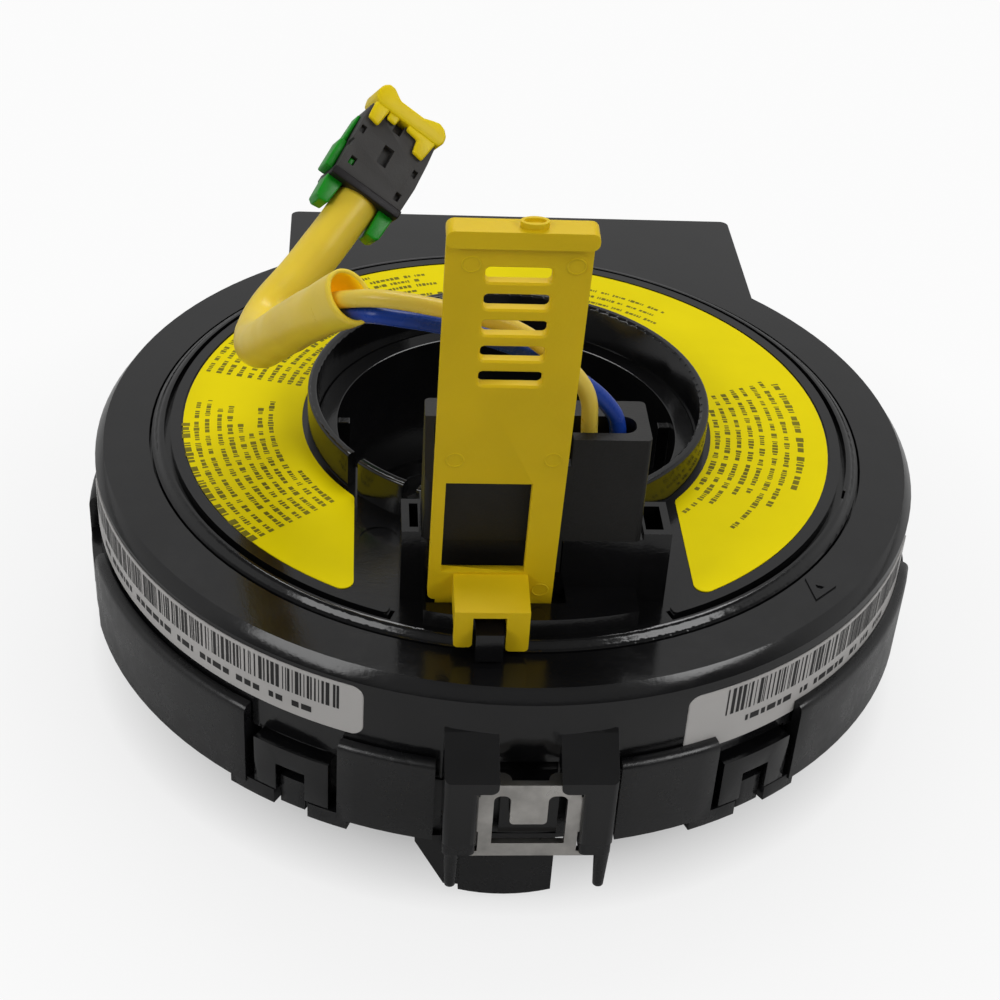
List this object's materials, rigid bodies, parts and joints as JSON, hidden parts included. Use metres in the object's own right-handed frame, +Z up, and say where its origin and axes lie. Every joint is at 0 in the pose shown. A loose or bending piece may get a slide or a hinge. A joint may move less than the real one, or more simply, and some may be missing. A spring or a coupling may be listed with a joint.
{
  "type": "steering clock spring",
  "caption": "Round black clock spring with a yellow-labelled rotor, open bore, rear connector housing, short airbag lead with squib connector and a yellow lock strap.",
  "frame": {"origin": "on the axis of the bore, in the plane of the case's underside, where it seats on the column", "axes": "+Z up the bore axis towards the steering wheel, -Y towards the tower with the airbag lead's plug and the metal clip, +Y towards the connector housing, +X to the right seen from the front"},
  "size_m": [0.105, 0.1122, 0.0833],
  "materials": {
    "case_black": "satin black moulding",
    "rotor_black": "glossy black moulding",
    "terminal_metal": "tinned",
    "clip_metal": "nickel plated",
    "ribbon_film": "smooth film",
    "glide_film": "smooth film",
    "label_light": "printed label",
    "label_yellow": "printed label",
    "plug_grey": "fine matt moulding",
    "wire_yellow": "smooth insulation",
    "wire_blue": "smooth insulation",
    "sleeve_pale": "soft smooth tube",
    "squib_grey": "fine matt moulding",
    "squib_green": "satin moulding",
    "squib_yellow": "satin moulding",
    "strap_yellow": "satin moulding"
  },
  "bodies": {
    "stator": {"upper_case": "case_black", "lower_case": "case_black", "connector_housing": "case_black", "terminals_left": "terminal_metal", "terminals_right": "terminal_metal", "front_terminals": "terminal_metal", "retaining_clip": "clip_metal", "ribbon_cable": "ribbon_film", "ribbon_holder": "case_black", "glide_film_lower": "glide_film", "glide_film_upper": "glide_film", "side_label_left": "label_light", "side_label_right": "label_light"},
    "rotor_group": {"rotor": "rotor_black", "lower_sleeve": "rotor_black", "face_label": "label_yellow", "lead_plug": "plug_grey", "wire_yellow": "wire_yellow", "wire_blue": "wire_blue", "lead_sleeve": "sleeve_pale", "squib_shell": "squib_grey", "squib_housing": "squib_green"},
    "strap": {"lock_strap": "strap_yellow"},
    "connector_lock": {"squib_lock": "squib_yellow"}
  },
  "joints": [
    {"name": "rotor_spin", "type": "hinge", "parent": "stator", "child": "rotor_group", "pos_m": [0, 0, 0], "axis": [0, 0, 1], "range_deg": [-900, 900]},
    {"name": "lock_strap_lift", "type": "slide", "parent": "rotor_group", "child": "strap", "axis": [0, -0.129, 0.9916], "range_m": [0, 0.03]},
    {"name": "squib_lock_pull", "type": "slide", "parent": "rotor_group", "child": "connector_lock", "axis": [0.4987, 0.663, 0.5583], "range_m": [0, 0.003]}
  ]
}
